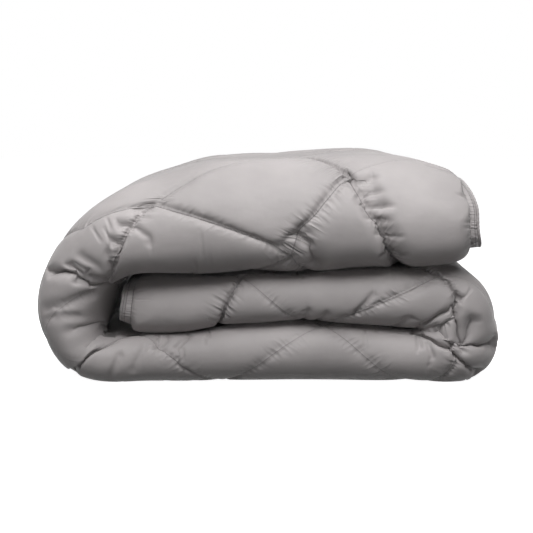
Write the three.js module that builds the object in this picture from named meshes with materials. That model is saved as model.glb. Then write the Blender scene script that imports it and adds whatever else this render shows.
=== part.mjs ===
// A quilted double duvet, folded in half twice into a strip of four layers,
// and then folded in three along that strip, as it lies on a shelf.
// Millimetres, +Z up, the folded front faces -Y. The origin is under the middle of the pile.
import * as THREE from 'three';

// Driving dimensions
const LAYER_GAP = 1.6;            // air left between two layers of one strip
const QUILT_DIAGONAL = 285.7;     // a seventh of the two metre side of the open duvet
const QUILT_START = 42;           // from the free outer end to the first row of seam crossings
const QUILT_ACROSS = 60;          // the same from the edge of the under layer
const SEAM_PINCH = 0.78;          // share of the loft that a seam takes away
const SEAM_SHARPNESS = 0.75;      // under 1 makes narrow valleys and full puffs
const HEM_WIDTH = 14;             // flat stitched hem along every edge
const HEM_HALF = 2.4;             // half the thickness of that hem
const CROWN_REACH = 62;           // the filling comes up to its full loft over this width
const BINDING_GAP = 0.6;          // from the hem to the rolled binding sewn on it
const BINDING_WIDTH = 4.4;        // how far the binding stands past the hem
const BINDING_HALF = 2.6;         // half the thickness of the binding
const FLOOR_PRESS = 5;            // puffs that reach within this of the floor lie flat on it

// The middle of the folded strip, seen from the front, from its free outer end
// over the top, down the left bend, along the floor, up the right bend and back to its inner end.
// thick is the strip's four layers together; front and back are its reach along Y.
const STRIP = [
  { x: 310, z: 243, thick: 124, front: -248, back: 243 },
  { x: 290, z: 244, thick: 134, front: -254, back: 248 },
  { x: 260, z: 242.5, thick: 145, front: -259, back: 252 },
  { x: 205, z: 246, thick: 158, front: -262, back: 256 },
  { x: 140, z: 250, thick: 161, front: -264, back: 257 },
  { x: 60, z: 247, thick: 165, front: -264, back: 257 },
  { x: -20, z: 246, thick: 162, front: -264, back: 257 },
  { x: -84, z: 242, thick: 161, front: -264, back: 257 },
  { x: -145, z: 233, thick: 145, front: -263, back: 256 },
  { x: -197, z: 223, thick: 128, front: -261, back: 255 },
  { x: -239, z: 204, thick: 114, front: -260, back: 253 },
  { x: -265, z: 174, thick: 110, front: -258, back: 251 },
  { x: -281, z: 134, thick: 109, front: -256, back: 250 },
  { x: -287, z: 110, thick: 98, front: -255, back: 249 },
  { x: -287, z: 81, thick: 85, front: -255, back: 249 },
  { x: -273, z: 47, thick: 70, front: -255, back: 249 },
  { x: -238, z: 33, thick: 65, front: -255, back: 249 },
  { x: -190, z: 34.5, thick: 69, front: -254, back: 250 },
  { x: -140, z: 34.5, thick: 69, front: -254, back: 251 },
  { x: -60, z: 40, thick: 80, front: -254, back: 252 },
  { x: 45, z: 43, thick: 86, front: -254, back: 252 },
  { x: 130, z: 40.5, thick: 81, front: -254, back: 251 },
  { x: 205, z: 38.5, thick: 77, front: -254, back: 250 },
  { x: 254, z: 36, thick: 71, front: -253, back: 249 },
  { x: 291, z: 49.5, thick: 67, front: -251, back: 247 },
  { x: 305, z: 84, thick: 67, front: -249, back: 245 },
  { x: 291, z: 118, thick: 67, front: -248, back: 244 },
  { x: 254, z: 130, thick: 68, front: -247, back: 243 },
  { x: 205, z: 126, thick: 75, front: -247, back: 243 },
  { x: 120, z: 125, thick: 73, front: -247, back: 244 },
  { x: 50, z: 126, thick: 66, front: -247, back: 245 },
  { x: -20, z: 123, thick: 66, front: -246, back: 245 },
  { x: -90, z: 117, thick: 73, front: -244, back: 244 },
  { x: -150, z: 111, thick: 76, front: -242, back: 243 },
  { x: -190, z: 109, thick: 68, front: -240, back: 241 },
  { x: -212, z: 108, thick: 58, front: -237, back: 238 },
];

// One layer's way through the strip: runs along Y, joined by turns.
// level is the height in the strip's thickness, as a share of it.
const SECTION = [
  { kind: 'run', level: -3 / 8, from: 'back edge', to: 'front', cells: 5 },
  { kind: 'turn', at: 'front', level: 0, radius: 3 / 8, cells: 9 },
  { kind: 'run', level: 3 / 8, from: 'front', to: 'back fold', cells: 8 },
  { kind: 'turn', at: 'back fold', level: 1 / 4, radius: 1 / 8, cells: 4 },
  { kind: 'run', level: 1 / 8, from: 'back fold', to: 'front', cells: 3 },
  { kind: 'turn', at: 'front', level: 0, radius: 1 / 8, cells: 4 },
  { kind: 'run', level: -1 / 8, from: 'front', to: 'back edge', cells: 5 },
];
const STRIP_CELLS = 48;
const TURN_EXTRA = 70;            // mm of length that each radian of a bend counts for in the mesh
const EDGE_ROWS = [0, HEM_WIDTH, HEM_WIDTH + 22];

// The strip's centreline with everything that changes along it.
class StripPath {
  constructor(rows) {
    this.rows = rows;
    this.curve = new THREE.CatmullRomCurve3(
      rows.map((row) => new THREE.Vector3(row.x, 0, row.z)), false, 'centripetal');
    this.curve.arcLengthDivisions = 800;
  }

  // The place at a share 0..1 of the strip's length.
  at(share) {
    const t = this.curve.getUtoTmapping(Math.min(Math.max(share, 0), 1));
    const point = this.curve.getPoint(t);
    const along = this.curve.getTangent(t);
    const place = t * (this.rows.length - 1);
    const row = Math.min(Math.floor(place), this.rows.length - 2);
    const mix = THREE.MathUtils.smoothstep(place - row, 0, 1);
    const blend = (key) => THREE.MathUtils.lerp(this.rows[row][key], this.rows[row + 1][key], mix);
    return {
      x: point.x, z: point.z,
      alongX: along.x, alongZ: along.z,
      outX: along.z, outZ: -along.x,
      thick: blend('thick'), front: blend('front'), back: blend('back'),
    };
  }
}

// Where a step of the section lies in the strip: y, level above the strip's middle,
// and the direction that the duvet's face side looks in, as its y and level parts.
function sectionPoint(step, place) {
  const { thick, front, back } = place;
  const turnCentre = {
    front: front + thick / 2,
    'back fold': back - thick / 4,
    'back edge': back - BINDING_WIDTH,
  };
  if (step.kind === 'run') {
    const from = turnCentre[step.from];
    const to = turnCentre[step.to];
    const facing = to > from ? 1 : -1;
    return {
      y: THREE.MathUtils.lerp(from, to, step.share) + facing * step.past,
      level: step.level * thick,
      faceY: 0,
      faceLevel: facing,
    };
  }
  // The outer front turn climbs, the others go down.
  const climbing = step.radius === 3 / 8;
  const angle = Math.PI * (step.share - 0.5) * (climbing ? 1 : -1);
  const bulge = step.at === 'front' ? -1 : 1;
  const radius = step.radius * thick;
  const side = step.at === 'front' && !climbing ? -1 : 1;
  return {
    y: turnCentre[step.at] + bulge * radius * Math.cos(angle),
    level: step.level * thick + radius * Math.sin(angle),
    faceY: side * bulge * Math.cos(angle),
    faceLevel: side * Math.sin(angle),
  };
}

// The section as a list of steps, each with its place on the open duvet.
function sectionSteps(place) {
  const steps = [];
  let across = 0;
  SECTION.forEach((part, number) => {
    const first = number === 0;
    const last = number === SECTION.length - 1;
    const depth = place.back - place.front - place.thick / 2;
    const length = part.kind === 'turn' ? Math.PI * (part.radius + 1 / 8) * place.thick
      : depth - (first || last ? BINDING_WIDTH : place.thick / 4);
    const shares = [];
    if (first) {
      EDGE_ROWS.forEach((row) => shares.push(row / length));
    }
    for (let cell = first ? 1 : 0; cell < part.cells; cell += 1) {
      shares.push(cell / part.cells);
    }
    if (last) {
      [...EDGE_ROWS].reverse().forEach((row) => shares.push(1 - row / length));
    }
    shares.forEach((share) => steps.push({ ...part, share, past: 0, across: across + share * length }));
    across += length;
  });
  return { steps, width: across };
}

// How full a puff is at a point of the open duvet: 0 on a seam, 1 in the middle of a diamond.
function fullness(along, across) {
  const one = (along - QUILT_START + across - QUILT_ACROSS) / QUILT_DIAGONAL;
  const other = (along - QUILT_START - across + QUILT_ACROSS) / QUILT_DIAGONAL;
  const toSeam = (value) => 2 * Math.abs(value - Math.round(value));
  const nearest = Math.min(toSeam(one), toSeam(other));
  return Math.sin(0.5 * Math.PI * nearest) ** SEAM_SHARPNESS;
}

// Half the thickness of the layer, which thins to the hem at every edge.
function halfLoft(along, across, edge, thick) {
  const puff = (thick / 8 - LAYER_GAP / 2) * (1 - SEAM_PINCH * (1 - fullness(along, across)));
  const inside = THREE.MathUtils.clamp((edge - HEM_WIDTH) / CROWN_REACH, 0, 1);
  const crown = Math.sqrt(1 - (1 - inside) ** 2);
  return THREE.MathUtils.lerp(HEM_HALF, puff, crown);
}

// Length along the strip at some level of its thickness, with extra for every radian of turn.
// It gives both ways between the share of the centreline and that length.
function measureAlong(path, level, extraForTurn) {
  const samples = 800;
  const totals = [0];
  let last = path.at(0);
  for (let sample = 1; sample <= samples; sample += 1) {
    const place = path.at(sample / samples);
    const stepX = place.x + place.outX * place.thick * level - last.x - last.outX * last.thick * level;
    const stepZ = place.z + place.outZ * place.thick * level - last.z - last.outZ * last.thick * level;
    const turn = Math.hypot(place.alongX - last.alongX, place.alongZ - last.alongZ);
    totals.push(totals[sample - 1] + Math.hypot(stepX, stepZ) + extraForTurn * turn);
    last = place;
  }
  return {
    total: totals[samples],
    at(share) {
      const floor = Math.min(Math.floor(share * samples), samples - 1);
      return THREE.MathUtils.lerp(totals[floor], totals[floor + 1], share * samples - floor);
    },
    shareOf(length) {
      const next = Math.max(totals.findIndex((total) => total >= length), 1);
      const within = (length - totals[next - 1]) / (totals[next] - totals[next - 1]);
      return (next - 1 + within) / samples;
    },
  };
}

// Shares of the strip's length for the rows of the mesh: closer in the bends and at the hemmed ends.
function stripShares(path, length) {
  const closeness = measureAlong(path, 1 / 2, TURN_EXTRA);
  const ends = EDGE_ROWS.map((row) => row / length);
  const start = closeness.at(ends[ends.length - 1]);
  const finish = closeness.at(1 - ends[ends.length - 1]);
  const inner = STRIP_CELLS - 2 * (ends.length - 1);
  const rows = ends.slice(0, -1);
  for (let cell = 0; cell <= inner; cell += 1) {
    rows.push(closeness.shareOf(start + (finish - start) * (cell / inner)));
  }
  [...ends].reverse().slice(1).forEach((row) => rows.push(1 - row));
  return rows;
}

const path = new StripPath(STRIP);
const stripLength = path.curve.getLength();
const shares = stripShares(path, stripLength);
// The open duvet is measured along its outermost layer, which goes the long way round the bends.
const openDuvet = measureAlong(path, 3 / 8, 0);

// A point of the layer: sideways is how far it lies off the layer's middle towards its face side.
function layerPoint(place, step, sideways) {
  const spot = sectionPoint(step, place);
  const level = spot.level + sideways * spot.faceLevel;
  const z = place.z + place.outZ * level;
  return new THREE.Vector3(
    place.x + place.outX * level,
    spot.y + sideways * spot.faceY,
    z < FLOOR_PRESS ? 0 : z,
  );
}

// A closed mesh from a flat list of points and faces, turned so that its faces look out.
function closedMesh(name, points, faces, colour, roughness) {
  const triangles = [];
  faces.forEach(([a, b, c, d]) => {
    triangles.push([a, b, c]);
    if (d !== undefined) {
      triangles.push([a, c, d]);
    }
  });
  const volume = triangles.reduce((sum, [a, b, c]) => (
    sum + points[a].dot(new THREE.Vector3().crossVectors(points[b], points[c])) / 6), 0);
  const index = triangles.flatMap(([a, b, c]) => (volume > 0 ? [a, b, c] : [a, c, b]));
  const geometry = new THREE.BufferGeometry();
  geometry.setAttribute('position', new THREE.Float32BufferAttribute(
    points.flatMap((point) => [point.x, point.y, point.z]), 3));
  geometry.setIndex(index);
  geometry.computeVertexNormals();
  const material = new THREE.MeshStandardMaterial({ color: colour, roughness, metalness: 0 });
  const mesh = new THREE.Mesh(geometry, material);
  mesh.name = name;
  return mesh;
}

// The duvet: face side and back side over the same grid, joined round the hem.
function makeDuvet() {
  const points = [];
  const grids = [1, -1].map((side) => shares.map((share) => {
    const place = path.at(share);
    const { steps, width } = sectionSteps(place);
    const along = openDuvet.at(share);
    return steps.map((step) => {
      const edge = Math.min(share * stripLength, (1 - share) * stripLength,
        step.across, width - step.across);
      const half = halfLoft(along, step.across, edge, place.thick);
      points.push(layerPoint(place, step, side * half));
      return points.length - 1;
    });
  }));
  const faces = [];
  const [face, back] = grids;
  const lastRow = face.length - 1;
  const lastStep = face[0].length - 1;
  for (let row = 0; row < lastRow; row += 1) {
    for (let step = 0; step < lastStep; step += 1) {
      faces.push([face[row][step], face[row + 1][step], face[row + 1][step + 1], face[row][step + 1]]);
      faces.push([back[row][step], back[row][step + 1], back[row + 1][step + 1], back[row + 1][step]]);
    }
    faces.push([face[row][0], back[row][0], back[row + 1][0], face[row + 1][0]]);
    faces.push([face[row][lastStep], face[row + 1][lastStep], back[row + 1][lastStep], back[row][lastStep]]);
  }
  for (let step = 0; step < lastStep; step += 1) {
    faces.push([face[0][step], face[0][step + 1], back[0][step + 1], back[0][step]]);
    faces.push([face[lastRow][step], back[lastRow][step], back[lastRow][step + 1], face[lastRow][step + 1]]);
  }
  return closedMesh('duvet', points, faces, 0xa5a1a1, 0.72);
}

// The rolled binding: one narrow loop, sewn round all four edges of the open duvet.
function makeBinding() {
  const loop = [];
  const lastShare = shares.length - 1;
  const stepsAt = shares.map((share) => sectionSteps(path.at(share)).steps);
  const lastStep = stepsAt[0].length - 1;
  for (let step = 0; step <= lastStep; step += 1) {
    loop.push({ row: 0, step });
  }
  for (let row = 1; row <= lastShare; row += 1) {
    loop.push({ row, step: lastStep });
  }
  for (let step = lastStep - 1; step >= 0; step -= 1) {
    loop.push({ row: lastShare, step });
  }
  for (let row = lastShare - 1; row > 0; row -= 1) {
    loop.push({ row, step: 0 });
  }
  const points = [];
  const rings = loop.map(({ row, step }) => {
    const place = path.at(shares[row]);
    const pastEnd = (row === 0 ? -1 : 0) + (row === lastShare ? 1 : 0);
    const pastSide = (step === 0 ? -1 : 0) + (step === lastStep ? 1 : 0);
    return [
      [BINDING_GAP, -1], [BINDING_GAP, 1], [BINDING_GAP + BINDING_WIDTH, 1], [BINDING_GAP + BINDING_WIDTH, -1],
    ].map(([out, side]) => {
      const shifted = { ...stepsAt[row][step], past: pastSide * out };
      const point = layerPoint(place, shifted, side * BINDING_HALF);
      point.x += place.alongX * pastEnd * out;
      point.z += place.alongZ * pastEnd * out;
      points.push(point);
      return points.length - 1;
    });
  });
  const faces = [];
  rings.forEach((ring, number) => {
    const next = rings[(number + 1) % rings.length];
    ring.forEach((corner, side) => {
      const after = (side + 1) % ring.length;
      faces.push([corner, ring[after], next[after], next[side]]);
    });
  });
  return closedMesh('edge_binding', points, faces, 0x98949a, 0.68);
}

const duvet = new THREE.Group();
duvet.add(makeDuvet());
duvet.add(makeBinding());
const box = new THREE.Box3().setFromObject(duvet);
duvet.position.set(-(box.min.x + box.max.x) / 2, -(box.min.y + box.max.y) / 2, -box.min.z);

export default duvet;
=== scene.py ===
"""A quilted duvet, folded in half twice and then in three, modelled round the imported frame.

Sizes are millimetres until a mesh is written. Along runs with the folded strip, from its free
outer end over the top, down the left bend, along the floor, up the right bend and back inside.
Across runs round one layer's section, 0 at the foremost line of the roll, plus on the outer side.
"""

import math

import bpy
import numpy as np
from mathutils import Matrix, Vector


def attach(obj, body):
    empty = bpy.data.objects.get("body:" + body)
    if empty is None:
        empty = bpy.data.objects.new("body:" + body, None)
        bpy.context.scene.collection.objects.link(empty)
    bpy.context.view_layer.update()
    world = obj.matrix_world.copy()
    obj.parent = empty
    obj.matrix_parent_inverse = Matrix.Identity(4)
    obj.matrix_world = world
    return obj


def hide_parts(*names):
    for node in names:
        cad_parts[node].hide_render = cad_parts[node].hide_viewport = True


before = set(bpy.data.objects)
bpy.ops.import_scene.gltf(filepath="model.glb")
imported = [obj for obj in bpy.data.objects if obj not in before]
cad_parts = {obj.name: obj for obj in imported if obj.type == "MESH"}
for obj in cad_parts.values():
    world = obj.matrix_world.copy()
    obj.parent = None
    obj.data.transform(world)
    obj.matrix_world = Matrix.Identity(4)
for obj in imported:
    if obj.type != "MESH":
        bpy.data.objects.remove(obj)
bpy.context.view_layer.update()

MM = 0.001

# The middle of the folded strip: place in the front view, thickness of its four layers,
# and how far it reaches to the front and to the back.
STRIP_COLUMNS = ("x", "z", "thick", "front", "back")
STRIP = [
    # top
    (313, 247, 126, -248, 242), (293, 248, 136, -253, 248), (262, 247, 147, -260, 252),
    (205, 249, 160, -266, 256), (140, 251, 163, -268, 257), (60, 245, 166, -269, 257),
    (-20, 244.5, 160, -269, 257), (-84, 240, 160, -269, 256), (-145, 232, 143, -268, 256),
    (-197, 223, 125, -266, 255),
    # left bend
    (-238, 203, 112, -263, 253), (-266, 173, 110, -260, 251), (-284, 134, 111, -258, 250),
    (-290, 107, 104, -257, 248), (-288, 78, 89, -256, 248), (-273, 45, 71, -255, 248),
    # bottom
    (-240, 33.5, 67, -254, 248), (-195, 35, 70, -253, 249), (-125, 36, 72, -252, 250),
    (-62, 41, 82, -252, 251), (48, 45.5, 91, -252, 251), (120, 43, 86, -252, 250),
    (180, 40, 80, -252, 249), (222, 38.5, 78, -252, 248),
    # right bend
    (273, 46, 112, -254, 246), (287, 58, 124, -252, 244), (285, 79, 121, -251, 243),
    (282, 101, 117, -250, 242), (262, 120, 108, -249, 242),
    # middle
    (222, 124, 92, -249, 242), (160, 126, 84, -250, 242), (98, 127, 76, -250, 243),
    (48, 126, 67, -250, 244), (-5, 125, 74, -250, 244), (-62, 121, 73, -245, 244),
    (-121, 114, 83, -241, 243), (-165, 113, 86, -239, 242), (-195, 114, 80, -238, 240),
    (-213, 116, 66, -236, 237),
]

# The quilted diamonds. Crossings lie in rows; the number of one counts diamonds along the
# strip, whole in even rows and halves in odd ones. A crossing is (along, across).
DIAGONAL = 286.0
FIRST_CROSSING = 205.0
CROSSING_ROW = 54.0    # row 0, just above the foremost line of the roll
# The crossings that show, where the folded cloth has shifted them.
SHIFTED_CROSSINGS = {
    (0, 0.0): (205, 58), (0, 1.0): (493, 36), (0, 2.0): (785, 54), (0, 3.0): (1072, 60),
    (0, 4.0): (1358, 68), (0, 5.0): (1639, 42), (0, 6.0): (1931, 42),
    (-1, -0.5): (100, -170), (-1, 0.5): (296, -63), (-1, 1.5): (655, -48),
    (-1, 2.5): (930, -63), (-1, 3.5): (1220, -48), (-1, 4.5): (1500, -50),
    (-1, 5.5): (1825, -58), (-1, 6.5): (1972, -62),
    (1, -0.5): (60, 145), (1, 0.5): (288, 165), (1, 1.5): (655, 95), (1, 4.5): (1500, 95),
}
# Seams that don't run straight from crossing to crossing, and the points they pass.
BENT_SEAMS = {
    ((0, 0.0), (-1, 0.5)): [(226, 42), (251, 13), (279, -25)],
    ((0, 0.0), (-1, -0.5)): [(191, 33), (177, -4), (164, -24), (144, -65), (127, -110)],
    ((0, 0.0), (1, 0.5)): [(230, 92)],
    ((0, 1.0), (1, 1.5)): [(563, 46), (604, 50)],
    ((0, 1.0), (-1, 1.5)): [(526, 10), (567, -16)],
    ((0, 6.0), (-1, 6.5)): [(1952, 5)],
}
# How deep a seam draws the cover in, where that isn't the usual.
SEAM_DEPTH = 0.50
SEAM_DEPTHS = {
    ((0, 0.0), (1, -0.5)): 0.15, ((0, 0.0), (1, 0.5)): 0.60, ((0, 0.0), (-1, 0.5)): 0.54,
    ((0, 0.0), (-1, -0.5)): 1.0, ((0, 1.0), (-1, 0.5)): 0.45, ((0, 1.0), (1, 0.5)): 0.36,
    ((0, 1.0), (1, 1.5)): 0.36, ((0, 1.0), (-1, 1.5)): 0.50,
    ((0, 2.0), (1, 1.5)): 0.20, ((0, 2.0), (-1, 1.5)): 0.20,
    ((0, 2.0), (1, 2.5)): 0.20, ((0, 2.0), (-1, 2.5)): 0.20,
    ((0, 5.0), (1, 4.5)): 0.20, ((0, 6.0), (-1, 6.5)): 1.0, ((0, 6.0), (-1, 5.5)): 0.30,
    ((0, 5.0), (-1, 5.5)): 0.50, ((0, 5.0), (-1, 4.5)): 0.60,
    ((0, 3.0), (-1, 3.5)): 0.30, ((0, 4.0), (-1, 3.5)): 0.30, ((0, 3.0), (-1, 2.5)): 0.34,
    ((0, 7.0), (-1, 6.5)): 0.01,
}
SEAM_SPACING = DIAGONAL * math.sqrt(0.5)
# First and past the last: rows of crossings, half diamonds along, and seam lines of one slant.
CROSSING_ROWS = (-5, 12)
HALF_DIAMONDS = (-2, 16)
SLANT_LINES = (-9, 18)

# The seams and creases count along from a little outside the end: (along, distance added).
TABLE_SHIFT = [(0, 7), (1400, 7), (1600, 0)]

# Creases where the cloth folds over or gathers: depth as a share of the layer's own height,
# half width in millimetres, and the points (along, across) they pass.
CREASES = [
    # left bend
    (0.80, 6, [(686, 48), (678, 28), (674, 9), (674, -20), (653, -48), (579, -86)]),
    (0.50, 6, [(657, 20), (657, -3), (637, -32)]),
    (0.35, 5, [(649, 14), (645, -9)]),
    (0.25, 8, [(633, 14), (624, -12)]),
    (0.40, 5, [(690, 6), (678, -20)]),
    (0.28, 9, [(744, 38), (727, 8), (703, -17)]),
    (0.20, 9, [(756, 34), (752, -3)]),
    (0.22, 9, [(781, 5), (777, -27)]),
    (0.20, 9, [(797, -45), (790, -64)]),
    (0.92, 8, [(851, 52), (855, 20), (859, 3), (872, -13), (892, -25), (912, -40), (941, -55)]),
    # round the crossing above the left bend
    (0.40, 4, [(522, 34), (497, 36)]),
    (0.35, 4, [(551, 19), (526, 10)]),
    (0.35, 4, [(575, 6), (559, -13)]),
    (0.20, 4, [(526, 7), (501, -18), (501, -28)]),
    (0.35, 4, [(592, -9), (604, -30)]),
    # the two deepest seams, drawn in to a slit
    (0.92, 7, [(1972, -62), (1958, -10), (1947, 12)]),
    (0.90, 5, [(158, -36), (144, -65), (127, -110)]),
    # the gathers at the two crossings right of the middle
    (0.65, 5, [(283, -34), (271, -55), (263, -85)]),
    (0.45, 4, [(189, 45), (168, 53)]),
    (0.35, 3, [(188, 37), (170, 41)]),
    (0.50, 4, [(189, 29), (164, 32)]),
    (0.35, 3, [(186, 19), (164, 20)]),
    (0.50, 4, [(181, 8), (156, 8)]),
    (0.45, 4, [(173, -8), (152, -16)]),
    (0.40, 4, [(162, -30), (140, -38)]),
    # bottom strip
    (0.40, 5, [(908, 30), (924, -3)]),
    (0.35, 5, [(945, 17), (961, -21)]),
    (0.50, 5, [(974, -41), (978, -18)]),
    (0.50, 5, [(994, -38), (982, -18)]),
    (0.55, 5, [(1027, -37), (1011, -18)]),
    (0.40, 5, [(1360, -43), (1360, -14)]),
    (0.35, 5, [(1376, -16), (1380, 2)]),
    # middle strip
    (0.40, 5, [(1738, 8), (1758, -17)]),
    (0.40, 5, [(1804, -24), (1820, -56)]),
    (0.40, 4, [(1832, -19), (1838, -50)]),
    (0.40, 5, [(1685, -29), (1700, -52)]),
    # right bend
    (0.85, 6, [(1598, 17), (1582, 0), (1549, -3), (1504, 6)]),
    (0.50, 5, [(1586, 23), (1582, 0)]),
    (0.75, 5, [(1537, 27), (1504, 6)]),
    (0.85, 6, [(1496, 69), (1496, 6)]),
    (0.55, 5, [(1487, 0), (1471, 12)]),
    (0.40, 4, [(1532, -3), (1516, -6)]),
    (0.65, 5, [(1598, 17), (1602, -11), (1664, -46)]),
    (0.75, 5, [(1356, -43), (1385, -28), (1426, -5), (1438, 21), (1450, 69)]),
    (0.45, 4, [(1434, -8), (1471, -12)]),
]

# The strip's section: levels above its middle, as shares of its thickness.
OUTER_LEVEL = 0.375    # middle of the outermost layer
INNER_LEVEL = 0.125    # middle of the next layer, and the radius of the folds between the two
FOLD_LEVEL = 0.25      # centre of the back fold
EDGE_INSET = 4.4       # from the strip's back line to the edge of the cloth
LAYER_GAP = 1.6
# How far below its middle the front stands out most, in half thicknesses, and its share of that
# by height.
SAG = 0.42
SAG_HEIGHTS = (60.0, 120.0, 180.0)
SAG_SHARES = (0.3, 0.6, 1.35)
# How much further than its radius the front leans back, as shares of the radius.
LEAN_OVER = 0.8        # above the top strip's foremost line
LEAN_UNDER = 0.2       # above the bottom strip's
LEAN_MIDDLE_OVER = 0.3            # above the middle strip's
LEAN_MIDDLE_UNDER = -0.25         # and below it
LEAN_HOLLOW = 2.0      # towards the hollow of the left bend
MIDDLE_TO_TOP = (130.0, 180.0)    # heights, the middle strip below and the top strip above
HOLLOW_TURN = 0.35     # how far the left bend's foremost line lies outwards, in half thicknesses
HEM_WIDTH = 14.0
HEM_HALF = 2.2
CROWN_REACH = 46.0
# The free end isn't cut square: its hem runs back over the top and hangs out at the bottom.
END_SKEW_REACH = 190.0
END_SKEW_FADE = 1.5
END_SKEW_LEAST = 2.0
END_SKEW_OVER = 22.0
END_SKEW_UNDER = 10.0
END_SKEW_SLOPE = 0.2   # more for each millimetre of depth
END_SKEW_FROM = 0.7    # the depth that this starts at, in thicknesses
END_SKEW_MOST = 66.0

BINDING_HALF_WIDTH = 2.3
BINDING_HALF_HEIGHT = 2.7
BINDING_STEP = 1.6
BINDING_SIDES = 8
BINDING_SMOOTHING = 4
BINDING_RUNG = 6.4     # length between two of its stitches
BINDING_SWELL = 0.10   # between the stitches, as a share of its size
BINDING_UNEVEN = 0.05
BINDING_SEED = 5

# Fabric, in metres
STITCH_LENGTH = 0.0032
THREAD_PITCH = 0.00045
THREAD_RELIEF = 0.00002
SEAM_STITCH = 0.0011   # half width of a quilting stitch line
SEAM_CHANNEL = -0.0004
SEAM_THREAD = 0.0003
SEAM_FOLD_REACH = 0.006
SEAM_FOLD_DEPTH = -0.0030
PUCKER_REACH = 0.034
PUCKER_HEIGHT = 0.0020
HEM_LINES = (0.0035, 0.0125)      # the hem's two stitch lines, from the edge of the cloth
HEM_STITCH = 0.0010
HEM_CHANNEL = -0.0007
HEM_THREAD = 0.0004
HEM_END = (0.0125, 0.0150)
HEM_RUNG_SIZE = (0.0034, 0.020)
HEM_RUNG_HEIGHT = 0.0016
CREASE_DEPTH = -0.0036
SOFT_SIZE = 0.055      # slight dents all over
SOFT_HEIGHT = 0.0022
CLOUD_SIZE = 0.16      # worn and dusty patches
# The cover's colour runs between these. It comes near the dark one only where painted shade falls
# along stitch lines and in creases.
COVER_DARK = (0.16, 0.149, 0.149)
COVER_LIGHT = (0.43, 0.402, 0.401)
FABRIC_SPECULAR = 0.35
FABRIC_SHEEN = 0.25
FABRIC_SHEEN_ROUGHNESS = 0.35

WHITE = (1.0, 1.0, 1.0, 1.0)
FLOOR_HALF = 9000.0
FLOOR_HEIGHT = -0.5    # just below the pile, so that the two don't flicker

# The loft of a layer where it isn't settled: least, and what its crown and seams add.
LOFT_LEAST = 0.28
LOFT_MORE = 0.72
CROWN_PART = 0.55
VALLEY_PART = 0.45
LOFT_REACH = 95.0      # from a seam to where the crown is full
CROWN_ROUND = 2.6
VALLEY_WIDTH = 9.0
VALLEY_SHAPE = 1.2

# How the cover settles
SPARE = 0.045          # cover cut larger than the space it fills, away from the seams
SPARE_START = 2.0      # from a seam
SPARE_REACH = 14.0     # the seams gather it over this distance
CRUMPLE = 0.10         # the most spare cloth on the inside of a bend
SHORTEST = 0.2         # the least distance between grid neighbours that counts
SEAM_LEVEL = 0.34      # height of a seam, as a share of half a layer
SEAM_RISE = 5.5
LEAST_HEIGHT = 0.6     # as a share of the height before it settles
PRESSURE = 0.05
BEND = 0.05
MOST_MOVE = 16.0
UNDER_HELD = 70.0      # it lies still further than this below the strip
HEM_SLACK = 2.0
SWELL = 0.30           # how far the cover may swell where it is free, as a share of its height
# How free the strip's outer side is: (along, share). It is pressed below and inside the pile.
FREE_OUTSIDE = [(0, 0.8), (500, 0.8), (620, 0.5), (820, 0.5), (900, 0.0),
                (1380, 0.0), (1450, 0.5), (1570, 0.5), (1660, 0.0)]
# Over what distance it rises from the hem: under the strip, over it, and where that changes.
HEM_RISE = (12.0, 90.0)
HEM_RISE_TURN = (-30.0, 20.0)
ROUGH_HEIGHT = 2.0     # random heights that it starts from, so that it can gather
ROUGH_SMOOTHING = 3
COVER_SEED = 11
RELAX_STEPS = 120
RELAX_PASSES = 3
RELAX_DAMPING = 0.9
# How strongly grid neighbours are held at their distance, by the step between them.
GRID_HOLDS = {(1, 0): 0.9, (0, 1): 0.9, (1, 1): 0.35, (1, -1): 0.35}

COLUMNS = 641          # grid lines along the strip on the face side, an odd number
CENTRELINE_POINTS = 6001
# Rows of the grid round the section: kind of stretch and how many cells it has.
FACE_ROWS = {"under": 8, "front": 66, "over": 40, "back fold": 5, "inner": 5,
             "inner front": 4, "edge": 8}
BACK_ROWS = {"under": 5, "front": 6, "over": 5, "back fold": 3, "inner": 3,
             "inner front": 3, "edge": 5}
# How the rows of a stretch crowd together, towards the hem or, over the strip, to the front.
ROW_CROWDING = {"under": 1.5, "over": 1.25, "edge": 1.5}
# Further than any seam or hem, and what keeps a division safe.
FAR = 1e3
TINY = 1e-6
TINY_WEIGHT = 1e-9


def spline(knots, values):
    """A smooth curve through the values, natural at both ends, as a function."""
    knots = np.asarray(knots, float)
    values = np.asarray(values, float)
    count = len(knots)
    step = np.diff(knots)
    matrix = np.zeros((count, count))
    right = np.zeros(count)
    matrix[0, 0] = matrix[-1, -1] = 1.0
    for i in range(1, count - 1):
        matrix[i, i - 1] = step[i - 1]
        matrix[i, i] = 2.0 * (step[i - 1] + step[i])
        matrix[i, i + 1] = step[i]
        right[i] = 6.0 * ((values[i + 1] - values[i]) / step[i]
                          - (values[i] - values[i - 1]) / step[i - 1])
    bend = np.linalg.solve(matrix, right)

    def at(place):
        i = np.clip(np.searchsorted(knots, place) - 1, 0, count - 2)
        a = (knots[i + 1] - place) / step[i]
        b = (place - knots[i]) / step[i]
        return (a * values[i] + b * values[i + 1]
                + ((a ** 3 - a) * bend[i] + (b ** 3 - b) * bend[i + 1]) * step[i] ** 2 / 6.0)
    return at


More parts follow.
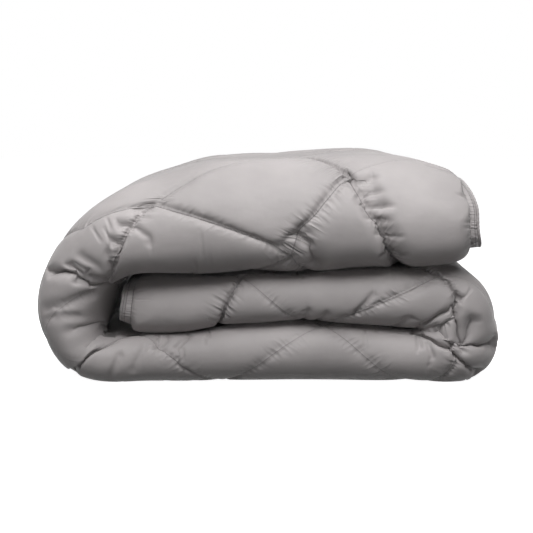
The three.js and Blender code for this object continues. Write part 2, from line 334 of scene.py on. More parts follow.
class Strip:
    """The folded strip's centreline and what changes along it, at a set of places."""

    def __init__(self):
        rows = np.array(STRIP, float)
        chord = np.hypot(np.diff(rows[:, 0]), np.diff(rows[:, 1]))
        knots = np.concatenate([[0.0], np.cumsum(chord)])
        self.curves = {name: spline(knots, rows[:, i]) for i, name in enumerate(STRIP_COLUMNS)}
        self.dense = np.linspace(0.0, knots[-1], CENTRELINE_POINTS)
        place = self.places(self.dense)
        outer = np.stack([place["x"] + place["out_x"] * place["thick"] * OUTER_LEVEL,
                          place["z"] + place["out_z"] * place["thick"] * OUTER_LEVEL], 1)
        self.outer_length = np.concatenate(
            [[0.0], np.cumsum(np.linalg.norm(np.diff(outer, axis=0), axis=1))])
        self.length = self.outer_length[-1]

    def places(self, t):
        """x, z, thickness and so on at path parameters t."""
        small = 0.5
        place = {name: curve(t) for name, curve in self.curves.items()}
        dx = self.curves["x"](t + small) - self.curves["x"](t - small)
        dz = self.curves["z"](t + small) - self.curves["z"](t - small)
        size = np.hypot(dx, dz)
        place["along_x"] = dx / size
        place["along_z"] = dz / size
        place["out_x"] = place["along_z"]
        place["out_z"] = -place["along_x"]
        return place

    def at(self, along):
        """The same, at distances along the outermost layer, from a little outside its end."""
        inside = np.interp(along, self.outer_length, self.dense)
        place = self.places(inside + np.minimum(along, 0.0))
        place["along"] = along
        return place


def front_shape(place):
    """How far the front leans back on the outer and the inner side of its foremost line, and
    where that line is. The front sags: the line is below the middle of a strip."""
    over = np.maximum(place["out_z"], 0.0)
    under = np.maximum(-place["out_z"], 0.0)
    hollow = np.maximum(-place["out_x"], 0.0) ** 2
    inside = np.interp(place["z"], MIDDLE_TO_TOP, (1.0, 0.0))
    radius = OUTER_LEVEL * place["thick"]
    lean_outer = radius * over * (LEAN_OVER + (LEAN_MIDDLE_OVER - LEAN_OVER) * inside)
    lean_inner = radius * (LEAN_UNDER * under + LEAN_MIDDLE_UNDER * over * inside
                           + LEAN_HOLLOW * hollow)
    sag = np.interp(place["z"], SAG_HEIGHTS, [share * SAG for share in SAG_SHARES])
    return lean_outer, lean_inner, HOLLOW_TURN * hollow - sag * place["out_z"]


def section_row(kind, share, place):
    """One row of the grid: y, level, facing and distance across, for all columns."""
    thick = place["thick"]
    front_centre = place["front"] + thick / 2
    fold_centre = place["back"] - thick / 4
    edge_line = place["back"] - EDGE_INSET
    radius = OUTER_LEVEL * thick
    small_radius = INNER_LEVEL * thick
    quarter = math.pi * thick / 4
    zero = np.zeros_like(thick)
    lean_outer, lean_inner, foremost = front_shape(place)
    if kind == "under":
        start = front_centre + lean_inner
        y = edge_line + (start - edge_line) * share
        return y, -radius, zero, zero - 1.0, -quarter - (y - start)
    if kind == "front":
        angle = math.pi * (share - 0.5)
        level = math.sin(angle) - foremost
        reach = np.where(level > 0.0, 1.0 - foremost, 1.0 + foremost)
        depth = radius + np.where(level > 0.0, lean_outer, lean_inner)
        sine = np.clip(level / reach, -1.0, 1.0)
        cosine = np.sqrt(1.0 - sine ** 2)
        size = np.hypot(radius * reach * cosine, depth * sine) + TINY
        return (front_centre - radius + depth * (1.0 - cosine), radius * math.sin(angle),
                -radius * reach * cosine / size, depth * sine / size, angle * thick / 2)
    front_centre = front_centre + lean_outer
    depth = fold_centre - front_centre
    if kind == "over":
        y = front_centre + depth * share
        return y, radius, zero, zero + 1.0, quarter + depth * share
    across = quarter + depth
    front_centre = front_centre + lean_inner
    depth = fold_centre - front_centre
    if kind == "back fold":
        angle = math.pi * (0.5 - share)
        y = fold_centre + small_radius * math.cos(angle)
        return (y, FOLD_LEVEL * thick + small_radius * math.sin(angle), zero + math.cos(angle),
                zero + math.sin(angle), across + quarter * share)
    across = across + quarter
    if kind == "inner":
        y = fold_centre - depth * share
        return y, small_radius, zero, zero - 1.0, across + depth * share
    across = across + depth
    if kind == "inner front":
        angle = math.pi * (0.5 - share)
        y = front_centre - small_radius * math.cos(angle)
        return (y, small_radius * math.sin(angle), zero + math.cos(angle),
                zero - math.sin(angle), across + quarter * share)
    across = across + quarter
    y = front_centre + (edge_line - front_centre) * share
    return y, -small_radius, zero, zero + 1.0, across + y - front_centre


def section_shares(rows):
    """The rows of the section as (kind, share)."""
    out = []
    for kind, cells in rows.items():
        shares = np.linspace(0.0, 1.0, cells + 1)
        if kind == "edge":
            shares = 1.0 - (1.0 - shares) ** ROW_CROWDING[kind]
        elif kind in ROW_CROWDING:
            shares = shares ** ROW_CROWDING[kind]
        out += [(kind, float(share)) for share in (shares if kind == "edge" else shares[:-1])]
    return out


def end_skew(along, depth, level, thick):
    """How far a place near the free end moves along the strip."""
    height = np.clip(level / (OUTER_LEVEL * thick), -1.0, 1.0)
    over = np.maximum(height, 0.0)
    under = np.maximum(-height, 0.0)
    deeper = END_SKEW_SLOPE * np.maximum(depth - END_SKEW_FROM * thick, 0.0) * over
    most = END_SKEW_LEAST + END_SKEW_OVER * over ** 2 + deeper
    most = np.minimum(most, END_SKEW_MOST) - END_SKEW_UNDER * under ** 2
    near = np.clip(1.0 - along / END_SKEW_REACH, 0.0, 1.0)
    return most * near ** END_SKEW_FADE


class Sheet:
    """A grid of points over the layer's middle surface, with everything known at each."""

    def __init__(self, strip, along, rows):
        self.rows = rows
        shape = (len(along), len(rows))
        self.y, self.level, self.face_y, self.face_level, self.across = (
            np.empty(shape) for _ in range(5))
        square = strip.at(along)
        self.place = {name: np.empty(shape) for name in square}
        for j, (kind, share) in enumerate(rows):
            y, level = section_row(kind, share, square)[:2]
            place = strip.at(along + end_skew(along, y - square["front"], level, square["thick"]))
            values = section_row(kind, share, place)
            for target, value in zip((self.y, self.level, self.face_y, self.face_level,
                                      self.across), values):
                target[:, j] = value
            for name, value in place.items():
                self.place[name][:, j] = value
        self.along = self.place["along"]
        self.sewn_at = self.along + np.interp(self.along, *zip(*TABLE_SHIFT))
        self.thick = self.place["thick"]
        self.middle = self.point(self.level, self.y)
        self.facing = np.stack([self.place["out_x"] * self.face_level, self.face_y,
                                self.place["out_z"] * self.face_level], -1)
        # distance to the nearest of the four hemmed edges
        first = np.abs(self.y[:, :1] - self.y)
        last = np.abs(self.y[:, -1:] - self.y)
        kinds = np.array([kind for kind, _ in rows])
        side = np.full(shape, FAR)
        side[:, kinds == "under"] = first[:, kinds == "under"]
        side[:, kinds == "edge"] = last[:, kinds == "edge"]
        ends = np.minimum(self.along - self.along[:1], strip.length - self.along)
        self.edge = np.minimum(side, ends)
        self.hem_run = np.where(side < ends, self.along, self.across)

    def point(self, level, y):
        """Places in the room, from the level in the strip and y."""
        return np.stack([self.place["x"] + self.place["out_x"] * level, y,
                         self.place["z"] + self.place["out_z"] * level], -1)


def crossing(row, number):
    """Where a crossing of two seams lies on the open duvet."""
    regular = (FIRST_CROSSING + DIAGONAL * number, CROSSING_ROW + DIAGONAL / 2 * row)
    return SHIFTED_CROSSINGS.get((row, number), regular)


def seam_lines():
    """Every seam between two crossings, as its points and how deep it is sewn."""
    lines = []
    for row in range(*CROSSING_ROWS):
        for half in range(*HALF_DIAMONDS):
            number = half / 2
            if (half - row) % 2:
                continue
            for side in (-0.5, 0.5):
                ends = ((row, number), (row + 1, number + side))
                back = (ends[1], ends[0])
                via = BENT_SEAMS.get(ends) or BENT_SEAMS.get(back, [])[::-1]
                depth = SEAM_DEPTHS.get(ends) or SEAM_DEPTHS.get(back, SEAM_DEPTH)
                lines.append(([crossing(*ends[0]), *via, crossing(*ends[1])], depth))
    return lines


def line_distance(sheet, points):
    """Distance from every point of the sheet to a line across the open duvet."""
    nearest = np.full(sheet.along.shape, FAR)
    for (u0, v0), (u1, v1) in zip(points[:-1], points[1:]):
        du, dv = u1 - u0, v1 - v0
        share = ((sheet.sewn_at - u0) * du + (sheet.across - v0) * dv) / (du * du + dv * dv)
        share = np.clip(share, 0.0, 1.0)
        away = np.hypot(sheet.sewn_at - u0 - share * du, sheet.across - v0 - share * dv)
        nearest = np.minimum(nearest, away)
    return nearest


def seam_distance(sheet):
    """Distance in millimetres to the nearest seam, and how deep that seam is sewn."""
    nearest = np.full(sheet.along.shape, FAR)
    strength = np.ones(sheet.along.shape)
    for points, depth in seam_lines():
        away = line_distance(sheet, points)
        strength = np.where(away < nearest, depth, strength)
        nearest = np.minimum(nearest, away)
    return nearest, strength


def crease_share(sheet):
    """How much of the layer's height its creases leave at each point."""
    left = np.ones(sheet.along.shape)
    for depth, width, points in CREASES:
        away = line_distance(sheet, points)
        left = np.minimum(left, 1.0 - depth * np.exp(-(away / width) ** 2))
    return left


def seam_phase(sheet, slant):
    """The seams of one slant counted along the duvet: a whole number on each of them."""
    phase = np.zeros(sheet.along.shape)
    lowest_row, highest_row = CROSSING_ROWS
    lines = []
    for k in range(*SLANT_LINES):
        points = []
        for row in range(highest_row, lowest_row - 1, -1):
            number = k + slant * row
            points.append(crossing(row, number))
            ends = ((row, number), (row - 1, number - slant))
            points += BENT_SEAMS.get(ends) or BENT_SEAMS.get(ends[::-1], [])[::-1]
        points = points[::-1]
        lines.append(np.interp(sheet.across, [v for _, v in points], [u for u, _ in points]))
    for k, low, high in zip(range(*SLANT_LINES), lines[:-1], lines[1:]):
        share = (sheet.sewn_at - low) / np.maximum(high - low, 1.0)
        phase = np.where((share >= 0.0) & (share < 1.0), k + share, phase)
    return phase


def puff(sheet):
    """How much of its full loft the layer has at each point."""
    nearest, strength = seam_distance(sheet)
    share = np.clip(nearest / LOFT_REACH, 0.0, 1.0)
    crown = 1.0 - (1.0 - share) ** CROWN_ROUND
    valley = 1.0 - strength * np.exp(-(nearest / VALLEY_WIDTH) ** VALLEY_SHAPE)
    raised = (CROWN_PART * crown ** 0.5 + VALLEY_PART * valley) * valley ** 0.25
    return LOFT_LEAST + LOFT_MORE * raised


def half_loft(sheet):
    """How far the cloth stands off its middle surface before it settles."""
    loft = (sheet.thick / 8 - LAYER_GAP / 2) * puff(sheet)
    inside = np.clip((sheet.edge - HEM_WIDTH) / CROWN_REACH, 0.0, 1.0)
    crown = np.sqrt(1.0 - (1.0 - inside) ** 2)
    return HEM_HALF + (loft - HEM_HALF) * crown


def zipper(one, other, one_at, other_at):
    """Triangles between two lines of points that run side by side."""
    faces = []
    i = j = 0
    while i < len(one) - 1 or j < len(other) - 1:
        if j == len(other) - 1 or (i < len(one) - 1 and one_at[i + 1] <= other_at[j + 1]):
            faces.append((one[i], one[i + 1], other[j]))
            i += 1
        else:
            faces.append((one[i], other[j + 1], other[j]))
            j += 1
    return faces


def grid_faces(count_along, count_across, start, flip):
    """The four-sided faces of a grid, and the number of each of its points."""
    index = start + np.arange(count_along * count_across).reshape(count_along, count_across)
    a, b = index[:-1, :-1], index[1:, :-1]
    c, d = index[1:, 1:], index[:-1, 1:]
    order = (a, d, c, b) if flip else (a, b, c, d)
    return np.stack([part.ravel() for part in order], 1), index


def make_mesh(name, points, quads, triangles):
    """A new object from points in millimetres and its faces."""
    mesh = bpy.data.meshes.new(name)
    points = np.asarray(points, np.float32) * MM
    quads = np.asarray(quads, np.int32).reshape(-1, 4)
    triangles = np.asarray(triangles, np.int32).reshape(-1, 3)
    mesh.vertices.add(len(points))
    mesh.vertices.foreach_set("co", points.ravel())
    corners = np.concatenate([quads.ravel(), triangles.ravel()])
    mesh.loops.add(len(corners))
    mesh.loops.foreach_set("vertex_index", corners)
    sizes = np.concatenate([np.full(len(quads), 4), np.full(len(triangles), 3)])
    starts = np.concatenate([[0], np.cumsum(sizes)[:-1]])
    mesh.polygons.add(len(sizes))
    mesh.polygons.foreach_set("loop_start", starts.astype(np.int32))
    mesh.polygons.foreach_set("use_smooth", np.ones(len(sizes), bool))
    mesh.update(calc_edges=True)
    mesh.validate()
    piece = bpy.data.objects.new(name, mesh)
    bpy.context.collection.objects.link(piece)
    return piece


def pull(first, second, rest, first_weight, second_weight, stiffness):
    """Moves pairs of neighbours towards their sewn distance, in place."""
    apart = second - first
    length = np.sqrt(np.einsum("...k,...k->...", apart, apart)) + TINY
    total = first_weight + second_weight + TINY_WEIGHT
    share = (stiffness * (length - rest) / (length * total))[..., None] * apart
    first += share * first_weight[..., None]
    second -= share * second_weight[..., None]


def pull_grid(points, weight, rest, step, stiffness):
    """Pulls every pair of grid neighbours that lie one step apart, in sets that share no point."""
    di, dj = step
    rows, columns = weight.shape
    low = max(0, -dj)
    high = columns - max(0, dj)
    for odd in (0, 1):
        if di:
            one = (slice(odd, rows - di, 2), slice(low, high))
            two = (slice(odd + di, rows, 2), slice(low + dj, high + dj))
        else:
            one = (slice(None), slice(odd, columns - dj, 2))
            two = (slice(None), slice(odd + dj, columns, 2))
        pull(points[one], points[two], rest[one], weight[one], weight[two], stiffness)


def spacing(points, step):
    """Distance to the neighbour one step on, in an array as large as the grid."""
    di, dj = step
    rows, columns = points.shape[:2]
    low = max(0, -dj)
    high = columns - max(0, dj)
    out = np.zeros((rows, columns), np.float32)
    out[:rows - di, low:high] = np.linalg.norm(
        points[di:, low + dj:high + dj] - points[:rows - di, low:high], axis=-1)
    return out


def height_limits(sheet, rows, nearest, strength, start_height):
    """The least and the most that the cover stands off its layer's middle surface."""
    layer = sheet.thick[:, :rows] / 8
    # Where nothing presses on it, the cover may swell past the strip's own thickness.
    swell = np.array([math.cos(math.pi * (share - 0.5)) if kind == "front" else 0.0
                      for kind, share in sheet.rows[:rows]])
    outer_half = np.array([kind == "over" or (kind == "front" and share > 0.5)
                           for kind, share in sheet.rows[:rows]])
    free = np.interp(sheet.along[:, :rows], *zip(*FREE_OUTSIDE)) * outer_half
    limit = layer * (1.0 + SWELL * (free + (1.0 - free) * swell)) - LAYER_GAP / 2
    seam_level = SEAM_LEVEL * layer
    high = seam_level + (limit - seam_level) * (1.0 - strength * np.exp(-nearest / SEAM_RISE))
    high *= crease_share(sheet)[:, :rows]
    # The filling thins out towards the hem, slowly over the top and fast under the free end.
    reach = np.interp(sheet.across[:, :rows], HEM_RISE_TURN, HEM_RISE)
    rise = np.clip((sheet.edge[:, :rows] - HEM_WIDTH) / reach, 0.0, 1.0)
    high = HEM_HALF + (high - HEM_HALF) * np.sqrt(1.0 - (1.0 - rise) ** 2)
    low = np.minimum(LEAST_HEIGHT * start_height, high)
    return low.astype(np.float32), high.astype(np.float32)


def free_weights(sheet, rows):
    """1 where the cover may move, and 0 where its hems or the pile hold it."""
    kinds = [kind for kind, _ in sheet.rows[:rows]]
    away = np.abs(sheet.y[0, :rows] - sheet.y[0, kinds.index("front")])
    under = np.array([kind == "under" for kind in kinds])
    weight = (sheet.edge[:, :rows] > HEM_WIDTH + HEM_SLACK).astype(np.float32)
    weight[:, under & (away > UNDER_HELD)] = 0.0
    weight[:, [0, -1]] = 0.0
    return weight


def cut_lengths(envelope, flat, nearest):
    """How far apart the cover is cut between grid neighbours, by the step between them."""
    lengths = {step: spacing(envelope, step) for step in GRID_HOLDS}
    # Inside a bend there is more cloth than room, and it crumples.
    crumple = np.clip(flat / np.maximum(lengths[(1, 0)], SHORTEST), 1.0, 1.0 + CRUMPLE)
    lengths[(1, 0)] *= crumple
    for step in ((1, 1), (1, -1)):
        lengths[step] = lengths[step] * np.sqrt((crumple ** 2 + 1.0) / 2.0)
    spare = SPARE * np.clip((nearest - SPARE_START) / SPARE_REACH, 0.0, 1.0)
    return {step: (length * (1.0 + spare)).astype(np.float32) for step, length in lengths.items()}


def rough_heights(shape):
    """Soft random heights over a grid, the same in every run."""
    noise = np.random.default_rng(COVER_SEED).normal(0.0, 1.0, shape)
    for _ in range(ROUGH_SMOOTHING):
        noise = (noise + np.roll(noise, 1, 0) + np.roll(noise, -1, 0)
                 + np.roll(noise, 1, 1) + np.roll(noise, -1, 1)) / 5
    return noise * ROUGH_HEIGHT


def settle(sheet, points, rows, flat):
    """Lets the cover take its shape: it is a little larger than the space that it fills, held at
    its seams, pushed out by the filling, and so puffs up and gathers along the seams."""
    middle = sheet.middle[:, :rows].astype(np.float32)
    facing = sheet.facing[:, :rows].astype(np.float32)
    envelope = middle + facing * (sheet.thick[:, :rows] / 8)[..., None].astype(np.float32)
    nearest, strength = [values[:, :rows] for values in seam_distance(sheet)]
    points = points[:, :rows].astype(np.float32)
    start_height = np.einsum("ijk,ijk->ij", points - middle, facing)
    low, high = height_limits(sheet, rows, nearest, strength, start_height)
    weight = free_weights(sheet, rows)
    lengths = cut_lengths(envelope, flat, nearest)
    points += facing * (rough_heights(nearest.shape) * weight)[..., None].astype(np.float32)
    speed = np.zeros_like(points)
    for _ in range(RELAX_STEPS):
        normal = np.cross(np.gradient(points, axis=0), np.gradient(points, axis=1))
        normal /= np.linalg.norm(normal, axis=-1, keepdims=True) + TINY
        outward = np.einsum("ijk,ijk->ij", normal, facing)
        normal *= np.sign(outward)[..., None]
        speed = RELAX_DAMPING * speed + PRESSURE * normal * weight[..., None]
        moved = points + speed
        for _ in range(RELAX_PASSES):
            for step, hold in GRID_HOLDS.items():
                pull_grid(moved, weight, lengths[step], step, hold)
        for axis in (0, 1):
            ahead = np.roll(moved, -1, axis)
            behind = np.roll(moved, 1, axis)
            moved += BEND * weight[..., None] * (0.5 * (ahead + behind) - moved)
        offset = np.einsum("ijk,ijk->ij", moved - middle, facing)
        moved += ((np.clip(offset, low, high) - offset) * weight)[..., None] * facing
        away = moved - envelope
        far = np.linalg.norm(away, axis=-1, keepdims=True)
        excess = np.clip(1.0 - MOST_MOVE / np.maximum(far, TINY), 0.0, 1.0)
        moved -= away * excess * weight[..., None]
        moved[..., 2] = np.maximum(moved[..., 2], 0.0)
        speed = moved - points
        points = moved
    return points


def build_duvet(strip):
    """The cover as one closed mesh with what its material reads, and the sheet of its face."""
    along_face = np.linspace(0.0, strip.length, COLUMNS)
    face = Sheet(strip, along_face, section_shares(FACE_ROWS))
    back = Sheet(strip, along_face[::2], section_shares(BACK_ROWS))
    face_points = face.middle + face.facing * half_loft(face)[..., None]
    rows = FACE_ROWS["under"] + FACE_ROWS["front"] + FACE_ROWS["over"]
    face_points[:, :rows] = settle(face, face_points, rows, strip.length / (COLUMNS - 1))
    back_points = back.middle - back.facing * half_loft(back)[..., None]
    face_points[..., 2] = np.maximum(face_points[..., 2], 0.0)
    back_points[..., 2] = np.maximum(back_points[..., 2], 0.0)
    count = face_points.shape[0] * face_points.shape[1]
    face_quads, face_index = grid_faces(*face_points.shape[:2], 0, False)
    back_quads, back_index = grid_faces(*back_points.shape[:2], count, True)
    side = zipper(back_index[:, 0], face_index[:, 0], along_face[::2], along_face)
    side += zipper(face_index[:, -1], back_index[:, -1], along_face, along_face[::2])
    side += zipper(face_index[0], back_index[0], face.across[0], back.across[0])
    side += zipper(back_index[-1], face_index[-1], back.across[-1], face.across[-1])
    points = np.concatenate([face_points.reshape(-1, 3), back_points.reshape(-1, 3)])
    piece = make_mesh("duvet_cover", points, np.concatenate([face_quads, back_quads]), side)
    both = (face, back)
    write_map(piece, "quilt", [(seam_phase(sheet, 0.5), seam_phase(sheet, -0.5)) for sheet in both])
    write_map(piece, "cloth", [(sheet.along * MM, sheet.across * MM) for sheet in both])
    write_map(piece, "hem", [(sheet.edge * MM, sheet.hem_run * MM) for sheet in both])
    write_values(piece, "sewn", [seam_distance(sheet)[1] for sheet in both])
    write_values(piece, "crease", [1.0 - crease_share(sheet) for sheet in both])
    return piece, face


def write_values(piece, name, parts):
    """One value at every point of the mesh, for its material."""
    values = np.concatenate([part.ravel() for part in parts]).astype(np.float32)
    piece.data.attributes.new(name, "FLOAT", "POINT").data.foreach_set("value", values)


def write_map(piece, name, pairs):
    """A UV map from two values known at every point of each sheet."""
    values = np.concatenate([np.stack(pair, -1).reshape(-1, 2) for pair in pairs])
    corners = np.empty(len(piece.data.loops), np.int32)
    piece.data.loops.foreach_get("vertex_index", corners)
    layer = piece.data.uv_layers.new(name=name)
    layer.data.foreach_set("uv", values[corners].astype(np.float32).ravel())


def border_loop(sheet):
    """The line round all four edges of the duvet, and the way out of the cloth along it."""
    middle = sheet.middle
    line = [middle[0], middle[1:, -1], middle[-1, -2::-1], middle[-2:0:-1, 0]]
    out = [middle[0] - middle[1], (middle[:, -1] - middle[:, -2])[1:],
           (middle[-1] - middle[-2])[-2::-1], (middle[:, 0] - middle[:, 1])[-2:0:-1]]
    out = [part / np.linalg.norm(part, axis=1, keepdims=True) for part in out]
    return np.concatenate(line), np.concatenate(out)


def evened(values, run, even):
    """Values round a closed line, taken at even places on it and smoothed a little."""
    closed = np.concatenate([values, values[:1]])
    values = np.stack([np.interp(even, run, closed[:, k]) for k in range(3)], 1)
    for _ in range(BINDING_SMOOTHING):
        values = (np.roll(values, 1, 0) + 2 * values + np.roll(values, -1, 0)) / 4
    return values


def build_binding(sheet):
    """The rolled binding round the edge, gathered into little rungs by its stitches."""
    line, out = border_loop(sheet)
    line = line + out * BINDING_HALF_WIDTH
    closed = np.concatenate([line, line[:1]])
    run = np.concatenate([[0.0], np.cumsum(np.linalg.norm(np.diff(closed, axis=0), axis=1))])
    count = int(run[-1] / BINDING_STEP)
    even = np.arange(count) * run[-1] / count
    line = evened(line, run, even)
    out = evened(out, run, even)
    ahead = np.roll(line, -1, 0) - np.roll(line, 1, 0)
    ahead /= np.linalg.norm(ahead, axis=1, keepdims=True)
    out -= ahead * np.sum(out * ahead, 1, keepdims=True)
    out /= np.linalg.norm(out, axis=1, keepdims=True)
    up = np.cross(ahead, out)
    uneven = np.random.default_rng(BINDING_SEED).normal(0.0, 1.0, count)
    uneven = (uneven + np.roll(uneven, 1) + np.roll(uneven, 2)) / 3
    rungs = round(run[-1] / BINDING_RUNG)
    swell = (1.0 + BINDING_SWELL * np.cos(2 * math.pi * rungs * even / run[-1])
             + BINDING_UNEVEN * uneven)
    rings = []
    for i in range(BINDING_SIDES):
        angle = 2 * math.pi * i / BINDING_SIDES
        rings.append(line + out * (BINDING_HALF_WIDTH * math.cos(angle) * swell)[:, None]
                     + up * (BINDING_HALF_HEIGHT * math.sin(angle) * swell)[:, None])
    points = np.stack(rings, 1)
    points[..., 2] = np.maximum(points[..., 2], 0.0)
    index = np.arange(count * BINDING_SIDES).reshape(count, BINDING_SIDES)
    ahead_index = np.roll(index, -1, 0)
    quads = np.stack([index, ahead_index, np.roll(ahead_index, -1, 1), np.roll(index, -1, 1)], -1)
    return make_mesh("rolled_binding", points.reshape(-1, 3), quads.reshape(-1, 4), [])


class Shade:
    """Short names for the nodes that a fabric is built from."""

    def __init__(self, name):
        self.material = bpy.data.materials.new(name)
        self.material.use_nodes = True
        self.nodes = self.material.node_tree.nodes
        self.links = self.material.node_tree.links
        self.shader = self.nodes["Principled BSDF"]

    def put(self, socket, value):
        """Links a socket to another, or sets its value."""
        if isinstance(value, bpy.types.NodeSocket):
            self.links.new(value, socket)
        else:
            socket.default_value = value

    def fill(self, node, settings):
        """Links or sets the named inputs of a node."""
        for name, value in settings.items():
            self.put(node.inputs[name], value)

    def math(self, operation, first, second=0.0, third=0.0):
        node = self.nodes.new("ShaderNodeMath")
        node.operation = operation
        for socket, value in zip(node.inputs, (first, second, third)):
            self.put(socket, value)
        return node.outputs[0]

    def ramp(self, value, start, end, low=0.0, high=1.0):
        """Runs smoothly from low to high while the value runs from start to end."""
        node = self.nodes.new("ShaderNodeMapRange")
        node.interpolation_type = "SMOOTHSTEP"
        self.fill(node, {"Value": value, "From Min": start, "From Max": end,
                         "To Min": low, "To Max": high})
        return node.outputs["Result"]

    def times(self, first, second):
        return self.math("MULTIPLY", first, second)

    def apart(self, first, second):
        return self.math("ABSOLUTE", self.math("SUBTRACT", first, second))

    def uv(self, name):
        node = self.nodes.new("ShaderNodeUVMap")
        node.uv_map = name
        split = self.nodes.new("ShaderNodeSeparateXYZ")
        self.links.new(node.outputs["UV"], split.inputs[0])
        return split.outputs["X"], split.outputs["Y"]

    def attribute(self, name):
        node = self.nodes.new("ShaderNodeAttribute")
        node.attribute_name = name
        return node.outputs["Fac"]

    def noise(self, x, y, scale_x, scale_y, detail=2.0, seed=0.0):
        """Noise with its own size in each direction, from 0 to 1."""
        place = self.nodes.new("ShaderNodeCombineXYZ")
        self.fill(place, {"X": self.times(x, 1.0 / scale_x), "Y": self.times(y, 1.0 / scale_y),
                          "Z": seed})
        node = self.nodes.new("ShaderNodeTexNoise")
        self.fill(node, {"Vector": place.outputs[0], "Scale": 1.0, "Detail": detail})
        return node.outputs["Fac"]

    def total(self, *values):
        result = values[0]
        for value in values[1:]:
            result = self.math("ADD", result, value)
        return result

    def bump(self, height):
        node = self.nodes.new("ShaderNodeBump")
        self.fill(node, {"Distance": 1.0, "Strength": 1.0, "Height": height})
        self.fill(self.shader, {"Normal": node.outputs["Normal"]})

    def fabric(self, colour_share, roughness):
        """Colour between the cover's dark and light, roughness, and the soft sheen."""
        node = self.nodes.new("ShaderNodeMix")
        node.data_type = "RGBA"
        self.put(node.inputs["Factor"], colour_share)
        # Its colour sockets share their names with others, so they go by number.
        node.inputs[6].default_value = (*COVER_DARK, 1.0)
        node.inputs[7].default_value = (*COVER_LIGHT, 1.0)
        self.fill(self.shader, {
            "Base Color": node.outputs[2], "Roughness": roughness,
            "Specular IOR Level": FABRIC_SPECULAR, "Sheen Weight": FABRIC_SHEEN,
            "Sheen Roughness": FABRIC_SHEEN_ROUGHNESS})


def weave_height(shade, x, y):
    """Plain weave: threads that run both ways, over and under each other."""
    turn = 2 * math.pi / THREAD_PITCH
    warp = shade.math("SINE", shade.times(x, turn))
    weft = shade.math("SINE", shade.times(y, turn))
    return shade.times(shade.times(warp, weft), THREAD_RELIEF)


def stitch_line(shade, away, run, half_width):
    """A line of stitches: its channel and its thread, from the distance to it and the way
    along it."""
    line = shade.ramp(away, 0.35 * half_width, half_width, 1.0, 0.0)
    dash = shade.math("FRACT", shade.times(run, 1.0 / STITCH_LENGTH))
    thread = shade.ramp(shade.apart(dash, 0.5), 0.30, 0.44, 1.0, 0.0)
    return line, shade.times(line, thread)


def pinched(shade, noise):
    """Turns noise into soft ridges with sharp valleys between them."""
    return shade.math("ABSOLUTE", shade.math("MULTIPLY_ADD", noise, 3.2, -1.6))


def pucker_height(shade, away, run, sewn):
    """Puckers that run away from a seam, fine and wide, and fade out with the distance."""
    fine = pinched(shade, shade.noise(run, away, 0.009, 0.035, 0.0, 3.0))
    wide = pinched(shade, shade.noise(run, away, 0.024, 0.080, 1.0, 8.0))
    height = shade.total(shade.times(fine, PUCKER_HEIGHT), shade.times(wide, 2 * PUCKER_HEIGHT))
    fade = shade.math("POWER", shade.ramp(away, 0.0, PUCKER_REACH, 1.0, 0.0), 1.5)
    fade = shade.times(fade, shade.ramp(sewn, 0.15, 0.55, 0.15, 1.0))
    return shade.times(height, fade)


def cover_material():
    """The cover: weave, seams with stitches and puckers, hem, creases, random tone and painted
    shade.
    """
    shade = Shade("cover_fabric")
    rising, falling = shade.uv("quilt")
    x, y = shade.uv("cloth")
    edge, hem_run = shade.uv("hem")
    sewn = shade.attribute("sewn")
    crease = shade.attribute("crease")
    shown = shade.ramp(sewn, 0.02, 0.10)
    heights = []
    shade_marks = []
    for phase, other in ((rising, falling), (falling, rising)):
        away = shade.times(shade.apart(phase, shade.math("ROUND", phase)), SEAM_SPACING * MM)
        run = shade.times(other, SEAM_SPACING * MM)
        line, thread = stitch_line(shade, away, run, SEAM_STITCH)
        line = shade.times(line, shown)
        thread = shade.times(thread, shown)
        fold = shade.ramp(away, 0.0, SEAM_FOLD_REACH, 1.0, 0.0)
        heights += [pucker_height(shade, away, run, sewn),
                    shade.times(shade.times(fold, sewn), SEAM_FOLD_DEPTH),
                    shade.times(line, SEAM_CHANNEL), shade.times(thread, SEAM_THREAD)]
        # Painted shade: the colour darkens along each seam's stitch line, more where the seam is
        # sewn deeper.
        shade_marks.append(shade.times(line, shade.ramp(sewn, 0.0, 0.6, 0.4, 1.0)))
    on_hem = shade.ramp(edge, *HEM_END, 1.0, 0.0)
    rungs = shade.noise(hem_run, edge, *HEM_RUNG_SIZE, 0.0, 1.0)
    heights.append(shade.times(shade.times(rungs, on_hem), HEM_RUNG_HEIGHT))
    for place in HEM_LINES:
        line, thread = stitch_line(shade, shade.apart(edge, place), hem_run, HEM_STITCH)
        heights += [shade.times(line, HEM_CHANNEL), shade.times(thread, HEM_THREAD)]
        # Painted shade along the hem's stitch lines.
        shade_marks.append(line)
    # Painted shade in the creases: the colour darkens where the cloth folds in.
    shade_marks.append(shade.ramp(crease, 0.45, 0.85, 0.0, 0.8))
    soft = shade.noise(x, y, SOFT_SIZE, SOFT_SIZE, 3.0, 5.0)
    heights += [shade.times(shade.math("POWER", crease, 2.0), CREASE_DEPTH),
                shade.times(soft, SOFT_HEIGHT), weave_height(shade, x, y)]
    shade.bump(shade.total(*heights))
    cloud = shade.noise(x, y, CLOUD_SIZE, CLOUD_SIZE, 4.0, 2.0)
    # Painted shade: the colour is darkened along the stitch lines and in the creases.
    painted_shade = shade.times(shade.math("MINIMUM", shade.total(*shade_marks), 1.0), -0.55)
    shade.fabric(shade.total(shade.ramp(cloud, 0.25, 0.75, 0.55, 1.0), painted_shade),
                 shade.ramp(cloud, 0.2, 0.8, 0.50, 0.60))
    return shade.material


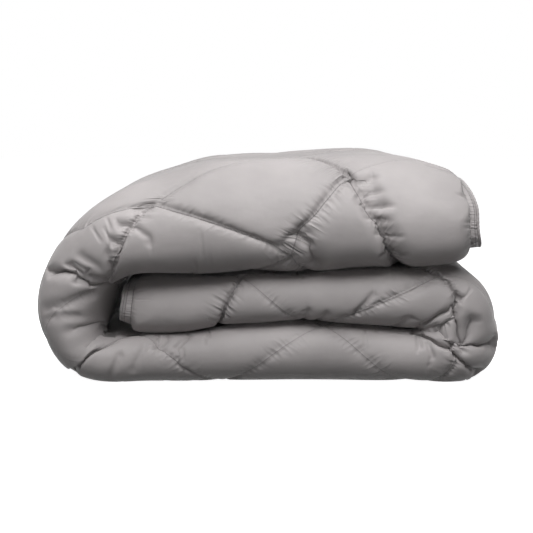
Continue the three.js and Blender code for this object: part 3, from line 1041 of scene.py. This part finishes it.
def binding_material():
    """The binding: the same cloth, a little darker and rougher where it has rubbed."""
    shade = Shade("binding_fabric")
    place = shade.nodes.new("ShaderNodeTexCoord")
    split = shade.nodes.new("ShaderNodeSeparateXYZ")
    shade.links.new(place.outputs["Object"], split.inputs[0])
    x, y, z = split.outputs
    slope = shade.math("ADD", x, z)
    shade.bump(shade.total(weave_height(shade, slope, y),
                           shade.times(shade.noise(slope, y, 0.004, 0.004), 0.0004)))
    cloud = shade.noise(slope, y, 0.02, 0.02, 3.0)
    shade.fabric(shade.ramp(cloud, 0.2, 0.8, 0.35, 0.95), shade.ramp(cloud, 0.2, 0.8, 0.52, 0.66))
    return shade.material


def area_light(name, place, target, size, power):
    light = bpy.data.lights.new(name, "AREA")
    light.shape = "RECTANGLE"
    light.size, light.size_y = size
    light.energy = power
    holder = bpy.data.objects.new(name, light)
    holder.location = place
    aim = Vector(target) - Vector(place)
    holder.rotation_euler = aim.to_track_quat("-Z", "Y").to_euler()
    bpy.context.collection.objects.link(holder)


def studio():
    """A pale floor, white surroundings and three soft lamps."""
    corners = [(-FLOOR_HALF, -FLOOR_HALF), (FLOOR_HALF, -FLOOR_HALF),
               (FLOOR_HALF, FLOOR_HALF), (-FLOOR_HALF, FLOOR_HALF)]
    floor = make_mesh("floor", [(x, y, FLOOR_HEIGHT) for x, y in corners], [(0, 1, 2, 3)], [])
    pale = Shade("pale_floor")
    pale.fill(pale.shader, {"Base Color": (0.6, 0.6, 0.6, 1.0), "Roughness": 0.9,
                            "Emission Color": WHITE, "Emission Strength": 0.95})
    floor.data.materials.append(pale.material)
    # The photo's cut-out look: the pale surroundings don't light the duvet, the lamps do.
    floor.visible_diffuse = False
    world = bpy.data.worlds.new("studio")
    world.use_nodes = True
    background = world.node_tree.nodes["Background"]
    background.inputs["Color"].default_value = WHITE
    background.inputs["Strength"].default_value = 1.0
    world.cycles_visibility.diffuse = False
    bpy.context.scene.world = world
    area_light("overhead", (0.15, -0.65, 2.0), (0.0, -0.1, 0.2), (2.2, 2.2), 58)
    area_light("front", (-0.3, -1.7, 2.0), (0.0, -0.1, 0.15), (2.4, 1.0), 20)
    area_light("low", (0.0, -2.6, 0.4), (0.0, 0.0, 0.15), (2.6, 0.7), 5)
    bpy.context.scene.view_settings.view_transform = "Standard"


def place_camera():
    """The photo's view: from a little above the pile's front, with a long lens."""
    distance = 2.3
    elevation = math.radians(6.0)
    target = Vector((0.0, -0.26, 0.1765))
    camera = bpy.data.cameras.new("camera")
    camera.sensor_width = 36.0
    camera.lens = 106.0
    holder = bpy.data.objects.new("camera", camera)
    holder.location = target + Vector((0.0, -math.cos(elevation), math.sin(elevation))) * distance
    holder.rotation_euler = (target - holder.location).to_track_quat("-Z", "Y").to_euler()
    bpy.context.collection.objects.link(holder)
    bpy.context.scene.camera = holder


strip = Strip()
cover, face = build_duvet(strip)
cover.data.materials.append(cover_material())
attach(cover, "root")
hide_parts("duvet")
binding = build_binding(face)
binding.data.materials.append(binding_material())
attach(binding, "root")
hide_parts("edge_binding")
studio()
place_camera()
